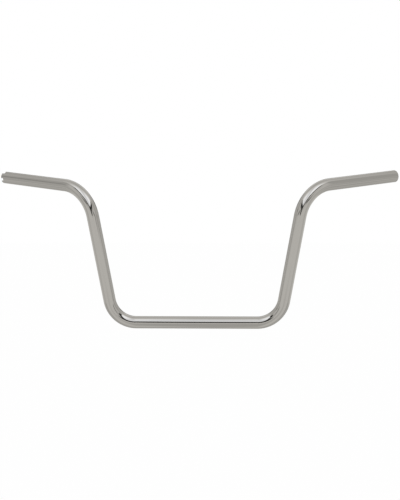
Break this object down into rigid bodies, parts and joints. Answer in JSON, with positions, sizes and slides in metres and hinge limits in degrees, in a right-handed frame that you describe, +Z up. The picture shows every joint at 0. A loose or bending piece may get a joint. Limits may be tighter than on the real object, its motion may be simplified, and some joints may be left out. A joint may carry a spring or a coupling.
{
  "type": "ape hanger handlebar",
  "caption": "Tall motorcycle handlebar bent from a single chromed steel tube, with a straight clamped base, leaning legs, pulled-back grips and a notched throttle end.",
  "frame": {"origin": "on the tube's axis, in the middle of the straight base that the risers clamp", "axes": "+X along the base towards the plain grip on the rider's left, +Y back towards the rider, +Z up in the plane of the legs"},
  "size_m": [0.8556, 0.1392, 0.3204],
  "materials": {
    "tube": "mirror polished"
  },
  "bodies": {
    "root": {"handlebar": "tube"}
  },
  "joints": []
}
